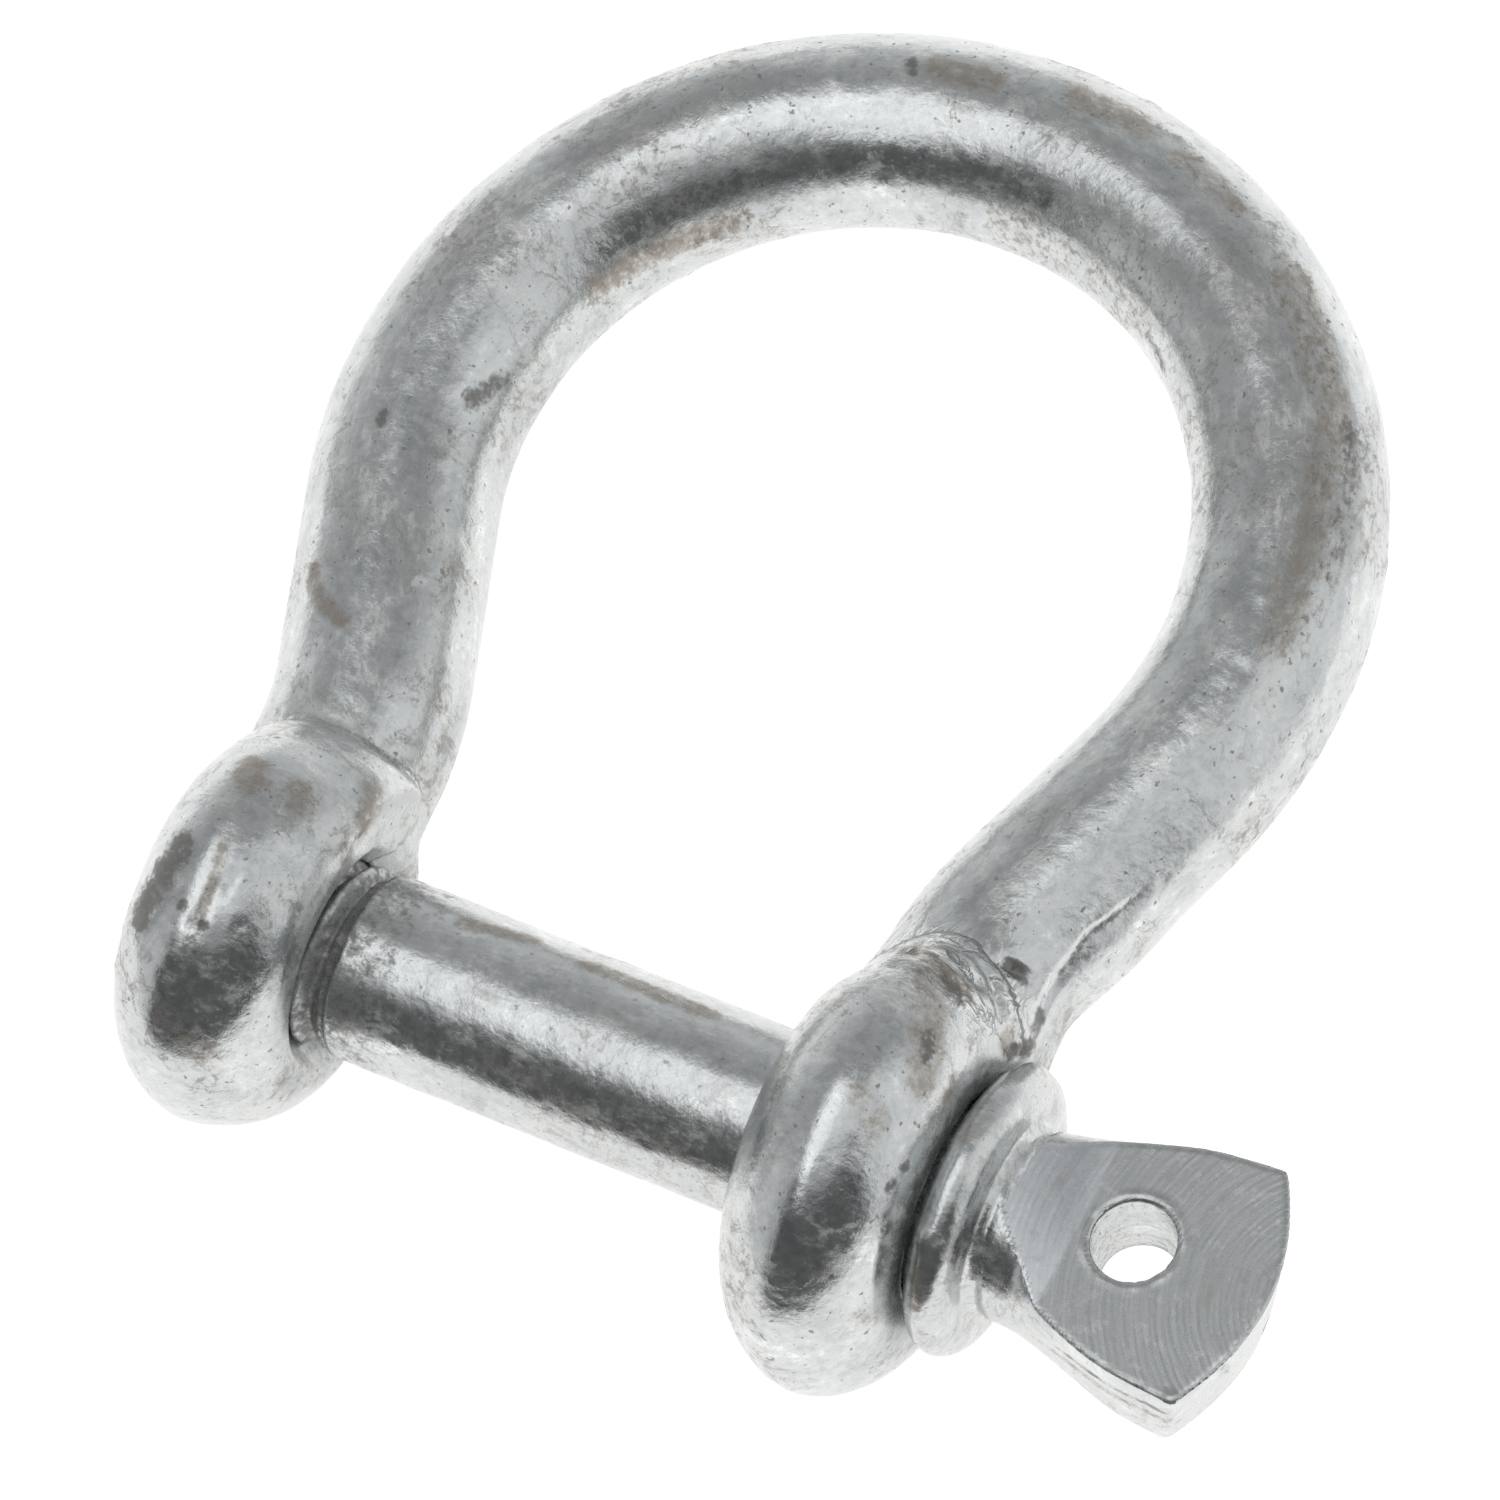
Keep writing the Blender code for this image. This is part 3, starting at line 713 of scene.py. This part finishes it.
class Nodes:
    """A node tree under construction. Sockets are passed as node outputs or as plain values."""

    def __init__(self, tree):
        self.tree = tree

    def node(self, kind, inputs=None, **settings):
        node = self.tree.nodes.new(kind)
        for key, value in settings.items():
            setattr(node, key, value)
        for key, value in (inputs or {}).items():
            self.feed(node.inputs[key], value)
        return node

    def feed(self, socket, value):
        if isinstance(value, bpy.types.NodeSocket):
            self.tree.links.new(value, socket)
        else:
            socket.default_value = value

    def attribute(self, name, output):
        return self.node("ShaderNodeAttribute", attribute_name=name).outputs[output]

    def vector(self, operation, *values):
        return self.node("ShaderNodeVectorMath", dict(enumerate(values)), operation=operation).outputs

    def scaled(self, vector, factors):
        return self.vector("MULTIPLY", vector, factors)["Vector"]

    def parts(self, vector):
        return self.node("ShaderNodeSeparateXYZ", {"Vector": vector}).outputs

    def noise(self, vector, per_mm, detail, roughness, distortion=0.0):
        inputs = {
            "Vector": vector,
            "Scale": per_mm,
            "Detail": detail,
            "Roughness": roughness,
            "Distortion": distortion,
        }
        return self.node("ShaderNodeTexNoise", inputs).outputs["Fac"]

    def maths(self, operation, *values):
        return self.node("ShaderNodeMath", dict(enumerate(values)), operation=operation).outputs[0]

    def total(self, *values):
        result = values[0]
        for value in values[1:]:
            result = self.maths("ADD", result, value)
        return result

    def times(self, *values):
        result = values[0]
        for value in values[1:]:
            result = self.maths("MULTIPLY", result, value)
        return result

    def largest(self, *values):
        result = values[0]
        for value in values[1:]:
            result = self.maths("MAXIMUM", result, value)
        return result

    def rest_of(self, share):
        return self.maths("SUBTRACT", 1.0, share)

    def span(self, value, low, high, to_low=0.0, to_high=1.0):
        inputs = {"Value": value, "From Min": low, "From Max": high, "To Min": to_low, "To Max": to_high}
        node = self.node("ShaderNodeMapRange", inputs, interpolation_type="SMOOTHSTEP")
        return node.outputs["Result"]

    def mixed(self, share, first, second):
        inputs = {"Factor": share, "A": first, "B": second}
        return self.node("ShaderNodeMix", inputs, data_type="FLOAT").outputs[0]

    def blend(self, share, first, second):
        """A mix of two colours."""
        inputs = {"Factor": share, 6: first, 7: second}
        return self.node("ShaderNodeMix", inputs, data_type="RGBA").outputs[2]

    def bump(self, height_mm):
        node = self.node("ShaderNodeBump", {"Height": height_mm, "Strength": 1.0, "Distance": MM})
        return node.outputs["Normal"]


class Shader(Nodes):
    """The nodes of a new material around its Principled shader."""

    def __init__(self, name):
        self.material = bpy.data.materials.new(name)
        self.material.use_nodes = True
        super().__init__(self.material.node_tree)
        self.principled = self.tree.nodes["Principled BSDF"]

    def fed_to(self, name):
        return self.principled.inputs[name].links[0].from_socket


COOL_ZINC = (0.510, 0.535, 0.545, 1)
WARM_ZINC = (0.645, 0.663, 0.662, 1)
BRIGHT_ZINC = (0.860, 0.880, 0.885, 1)
FROST_AND_HIGHLIGHT = (0.820, 0.825, 0.805, 1)
DIRT_AND_SHADE = (0.130, 0.122, 0.110, 1)
STAIN = (0.325, 0.285, 0.240, 1)
MILLED_FLAT_PAINTED_SHADE = ((0.475, 0.490, 0.495, 1), (0.56, 0.575, 0.58, 1))
MILLED_RAMP_PAINTED_HIGHLIGHT = ((0.61, 0.64, 0.66, 1), (0.68, 0.71, 0.73, 1))
MILLING_CENTRE = (43.5, 1.2, 0.0)


def galvanised(name, dirt_and_shade_amount, frost_amount):
    """Hot-dip zinc: satin metal with ragged frosty flecks, hairline cracks, grime and tan stains,
    painted shade in folds and placed grooves, and painted highlight on placed ridges and edges.
    """
    s = Shader(name)
    coat = s.attribute("coat", "Vector")
    stain = s.attribute("stain", "Fac")
    grime_and_shade = s.attribute("grime_and_shade", "Fac")
    pale = s.attribute("pale", "Fac")
    calm_share = s.attribute("calm", "Fac")
    wrinkled = s.attribute("wrinkled", "Fac")

    # Patterns, from the coarsest to the finest. Those read along the bar are stretched that way.
    along = s.scaled(coat, (0.5, 1.0, 1.0))
    cloud = s.noise(coat, 0.12, 5.0, 0.64)
    patch = s.noise(along, 0.38, 6.0, 0.70, 0.3)
    swell = s.noise(coat, 0.55, 3.0, 0.50)
    grain = s.noise(coat, 1.5, 6.0, 0.72)
    fine = s.noise(along, 4.6, 4.0, 0.70)
    folds = s.noise(s.scaled(coat, (0.5, 1.2, 1.2)), 0.50, 3.0, 0.55, 1.5)
    folds = s.span(s.maths("ABSOLUTE", s.total(folds, -0.5)), 0.0, 0.10)

    # The zinc itself, in three greys.
    tone = s.total(s.times(patch, 0.45), s.times(grain, 0.55))
    colour = s.blend(s.span(tone, 0.38, 0.53), COOL_ZINC, WARM_ZINC)
    colour = s.blend(s.span(tone, 0.52, 0.65), colour, BRIGHT_ZINC)

    # Dull whitish oxide in random flecks, and whitish marks where they were placed, partly oxide and
    # partly painted highlight.
    frost_and_highlight = s.span(s.noise(along, 1.1, 6.0, 0.72, 0.3), 0.48, 0.62)
    frost_and_highlight = s.times(frost_and_highlight, s.span(patch, 0.40, 0.60), frost_amount)
    placed_pale_and_highlight = s.times(s.span(s.total(pale, grain), 0.7, 1.3), 0.9)
    frost_and_highlight = s.largest(frost_and_highlight, placed_pale_and_highlight)
    colour = s.blend(s.times(frost_and_highlight, 0.70), colour, FROST_AND_HIGHLIGHT)

    # Dark dirt in cracks, specks and pits, painted shade in the troughs of the coat's folds, and dark
    # marks where they were placed, partly dirt and partly painted shade.
    vein = s.maths("ABSOLUTE", s.total(s.noise(coat, 0.40, 5.0, 0.62, 0.5), -0.5))
    vein = s.times(s.span(vein, 0.034, 0.0), s.span(cloud, 0.42, 0.56), s.span(grain, 0.36, 0.58), 0.60)
    speckle = s.times(s.span(grain, 0.48, 0.66), s.span(fine, 0.36, 0.66), s.span(cloud, 0.43, 0.60))
    speckle = s.times(speckle, 0.75)
    pits = s.times(s.span(s.noise(coat, 2.3, 2.0, 0.5), 0.66, 0.74), 0.8)
    fold_shade = s.times(wrinkled, s.span(folds, 0.45, 0.0), s.span(grain, 0.36, 0.56))
    soil_and_shade = s.times(s.largest(vein, speckle, pits, fold_shade), dirt_and_shade_amount)
    rough_edge = s.total(s.times(s.total(grain, -0.5), 2.6), s.times(s.total(fine, -0.5), 0.8))
    placed_grime_and_shade = s.times(s.span(s.total(grime_and_shade, rough_edge), 0.20, 1.00), s.span(grime_and_shade, 0.0, 0.4))
    soil_and_shade = s.largest(soil_and_shade, placed_grime_and_shade)

    # Brown stains.
    placed_stain = s.times(s.span(s.total(stain, rough_edge), 0.15, 1.15), s.span(stain, 0.0, 0.5))
    drift = s.times(s.span(cloud, 0.46, 0.64), s.span(grain, 0.42, 0.58), 0.45 * dirt_and_shade_amount)
    tan = s.largest(placed_stain, drift)
    colour = s.blend(s.times(tan, 0.82), colour, STAIN)
    colour = s.blend(s.times(soil_and_shade, 0.80), colour, DIRT_AND_SHADE)
    s.feed(s.principled.inputs["Base Color"], colour)

    rough = s.total(
        0.105,
        s.times(s.span(grain, 0.36, 0.62), 0.08),
        s.times(frost_and_highlight, 0.16),
        s.times(soil_and_shade, 0.24),
        s.times(tan, 0.14),
        s.times(calm_share, 0.12),
    )
    s.feed(s.principled.inputs["Roughness"], rough)
    dull = s.total(
        s.times(soil_and_shade, 0.45),
        s.times(frost_and_highlight, 0.40),
        s.times(tan, 0.25),
        s.times(calm_share, 0.30),
    )
    s.feed(s.principled.inputs["Metallic"], s.largest(s.rest_of(dull), 0.3))
    height = s.total(
        s.times(swell, 0.066),
        s.times(grain, 0.024),
        s.times(fine, 0.004),
        s.times(soil_and_shade, -0.008),
        s.times(frost_and_highlight, 0.005),
        s.times(folds, wrinkled, 0.12),
    )
    height = s.times(height, s.span(calm_share, 0.0, 1.0, 1.0, 0.2))
    s.feed(s.principled.inputs["Normal"], s.bump(height))
    return s


def pin_material():
    """Zinc on the turned parts, and bare milling marks on the lug's flats and ramps, the milled steel
    painted darker on the flats and lighter on the ramps: painted shade and painted highlight.
    """
    feed_per_turn = 0.36
    s = galvanised("galvanised pin coat", dirt_and_shade_amount=0.55, frost_amount=0.80)
    coat = s.attribute("coat", "Vector")
    milled = s.attribute("milled", "Fac")
    zinc_colour = s.fed_to("Base Color")
    zinc_rough = s.fed_to("Roughness")
    bump = s.fed_to("Normal").node
    zinc_height = bump.inputs["Height"].links[0].from_socket

    # The cutter's arcs, about the point its axis passed over.
    from_cutter = s.vector("SUBTRACT", coat, MILLING_CENTRE)["Vector"]
    from_cutter = s.scaled(from_cutter, (1.0, 1.0, 0.0))
    wander = s.times(s.noise(coat, 0.35, 2.0, 0.5), 0.35)
    radius = s.total(s.vector("LENGTH", from_cutter)["Value"], wander)
    ridges = s.maths("SINE", s.times(radius, math.tau / feed_per_turn))
    bearing = s.parts(from_cutter)
    turn = s.maths("ARCTAN2", bearing[1], bearing[0])
    ring = {"X": s.times(radius, 4.0), "Y": s.times(turn, 1.2), "Z": 0.0}
    lines = s.noise(s.node("ShaderNodeCombineXYZ", ring).outputs[0], 1.0, 6.0, 0.75)
    dust = s.noise(coat, 0.9, 7.0, 0.76)

    streak = s.span(lines, 0.38, 0.62)
    # The milled steel in two copies: darker on the flats as painted shade, lighter and bluer on the
    # ramps as painted highlight.
    flat_shaded_colour = s.blend(streak, *MILLED_FLAT_PAINTED_SHADE)
    ramp_highlight_colour = s.blend(streak, *MILLED_RAMP_PAINTED_HIGHLIGHT)
    on_ramp = s.span(s.parts(coat)[0], COLLAR_END + 4.5, COLLAR_END + 4.3)
    colour = s.blend(on_ramp, flat_shaded_colour, ramp_highlight_colour)
    colour = s.blend(s.times(s.span(dust, 0.54, 0.64), 0.30), colour, STAIN)
    colour = s.blend(s.times(s.span(dust, 0.45, 0.38), 0.35), colour, FROST_AND_HIGHLIGHT)
    s.feed(s.principled.inputs["Base Color"], s.blend(milled, zinc_colour, colour))

    rough = s.total(0.20, s.times(lines, 0.08), s.times(s.span(dust, 0.45, 0.60), 0.08))
    rough = s.total(s.times(zinc_rough, s.rest_of(milled)), s.times(rough, milled))
    s.feed(s.principled.inputs["Roughness"], rough)

    fade = s.span(s.noise(coat, 0.30, 2.0, 0.5), 0.35, 0.60, 0.25, 1.0)
    cut = s.total(s.times(ridges, fade, 0.0020), s.times(lines, 0.012), s.times(dust, 0.003))
    height = s.total(s.times(zinc_height, s.rest_of(milled)), s.times(cut, milled))
    s.feed(bump.inputs["Height"], height)
    return s.material


# Studio -----------------------------------------------------------------------------------------


def add_floor():
    """A pale table that ends not far in front of the shackle and to its right."""
    far = 2.0
    front = -0.085
    right = 0.085
    mesh = bpy.data.meshes.new("floor")
    corners = [(-far, front, 0), (right, front, 0), (right, far, 0), (-far, far, 0)]
    mesh.from_pydata(corners, [], [(0, 1, 2, 3)])
    s = Shader("pale floor")
    s.principled.inputs["Base Color"].default_value = (0.85, 0.85, 0.85, 1)
    s.principled.inputs["Roughness"].default_value = 0.9
    s.principled.inputs["Specular IOR Level"].default_value = 0.0
    s.principled.inputs["Emission Color"].default_value = (1.0, 0.985, 0.965, 1)
    s.principled.inputs["Emission Strength"].default_value = 0.70
    mesh.materials.append(s.material)
    floor = bpy.data.objects.new("floor", mesh)
    floor.location.z = CAD_LOW.z
    bpy.context.scene.collection.objects.link(floor)


def light_studio():
    """Soft light from all round: a bright panel overhead, a darker room in front of the shackle."""
    world = bpy.data.worlds.new("studio")
    world.use_nodes = True
    bpy.context.scene.world = world
    n = Nodes(world.node_tree)
    background = n.tree.nodes["Background"]
    x, y, z = n.parts(n.node("ShaderNodeTexCoord").outputs["Generated"])
    azimuth = n.maths("ARCTAN2", x, n.times(y, -1.0))
    elevation = n.maths("ARCSINE", z)

    # The room, brighter towards the floor.
    level = n.span(z, 0.0, 0.80, 0.70, 0.39)
    # A narrow grey wall on the left, and a bright one on the right.
    left = n.times(n.span(azimuth, -1.75, -1.60), n.span(azimuth, -1.20, -1.35))
    level = n.mixed(left, level, 0.42)
    right = n.times(n.span(azimuth, 1.35, 1.45), n.span(azimuth, 2.45, 2.15))
    level = n.mixed(n.times(right, n.span(elevation, 1.2, 1.0)), level, 0.85)
    # The dark side of the room, in front.
    dark = n.times(n.span(azimuth, -0.72, -0.58), n.span(azimuth, 1.45, 1.35))
    dark = n.times(dark, n.span(elevation, 1.10, 1.00))
    level = n.mixed(dark, level, n.span(elevation, 0.45, 1.00, 0.12, 0.185))

    # The ceiling, measured where a ray crosses it: X across, Y away from the front.
    height = n.largest(z, 0.001)
    across = n.maths("DIVIDE", x, height)
    deep = n.maths("DIVIDE", y, height)
    half_lit = n.times(n.span(across, 0.12, 0.22), n.span(across, 1.0, 0.7))
    half_lit = n.times(half_lit, n.span(deep, -0.95, -0.75), n.span(deep, 0.3, 0.2))
    level = n.mixed(half_lit, level, 0.42)
    # The bright panel. Its front edge steps back on the right.
    edge = n.total(n.span(across, -0.34, -0.26, -0.62, -0.90), n.span(across, 0.02, 0.20, 0.0, 0.52))
    behind_edge = n.maths("SUBTRACT", deep, edge)
    panel = n.times(n.span(across, -0.53, -0.45), n.span(across, 0.90, 0.75))
    panel = n.times(panel, n.span(behind_edge, -0.03, 0.03), n.span(deep, 0.32, 0.20))
    level = n.mixed(panel, level, n.span(across, 0.08, 0.22, 1.26, 0.80))

    # What is seen directly is as pale as the table.
    camera_ray = n.node("ShaderNodeLightPath").outputs["Is Camera Ray"]
    n.feed(background.inputs["Strength"], n.mixed(camera_ray, level, 1.03))
    background.inputs["Color"].default_value = (0.988, 1.0, 1.008, 1)


def place_camera():
    """Looks down on the shackle from its front right, with the crown away from the camera."""
    right = Vector((0.8837, 0.4415, -0.1555))
    up = Vector((-0.3410, 0.8349, 0.4321))
    back = Vector((0.3206, -0.3288, 0.8883))
    sensor_width = 36.0
    frame_width = 76.5 * MM  # of what the view takes in, at the jaw
    distance = 566.6 * MM
    aside = 9.30 * MM
    below = 15.03 * MM
    data = bpy.data.cameras.new("camera")
    data.sensor_width = sensor_width
    data.lens = sensor_width * distance / frame_width
    data.clip_start = 0.01
    data.clip_end = 20.0
    camera = bpy.data.objects.new("camera", data)
    camera.rotation_mode = "QUATERNION"
    place = JAW_CENTRE + back * distance + right * aside + up * below
    turn = Matrix((right, up, back)).transposed()
    camera.location = place
    camera.rotation_quaternion = turn.to_quaternion()
    bpy.context.scene.collection.objects.link(camera)
    bpy.context.scene.camera = camera


def main():
    bow, _ = forging(
        "bow_forging",
        bow_field,
        (BOW_LOW, BOW_HIGH),
        BOW_GRID_STEP,
        bow_relief,
        {"stain": BOW_STAINS, "grime_and_shade": BOW_GRIME_AND_SHADE, "pale": BOW_PALE},
        bow_coat_points,
    )
    coat = galvanised("galvanised bow coat", dirt_and_shade_amount=0.95, frost_amount=0.85)
    bow.data.materials.append(coat.material)
    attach(bow, "bow")
    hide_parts("bow")

    pin, points = forging(
        "pin_forging",
        pin_field,
        (PIN_LOW, PIN_HIGH),
        PIN_GRID_STEP,
        pin_relief,
        {"stain": PIN_STAINS, "grime_and_shade": PIN_DARK_MARKS, "pale": PIN_PALE},
        lambda points: points,
    )
    add_floats(pin.data, "milled", milled_share(points))
    pin.data.materials.append(pin_material())
    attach(pin, "screw_pin")
    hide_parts("screw_pin")

    add_floor()
    light_studio()
    place_camera()
    bpy.context.scene.view_settings.view_transform = "Standard"


main()
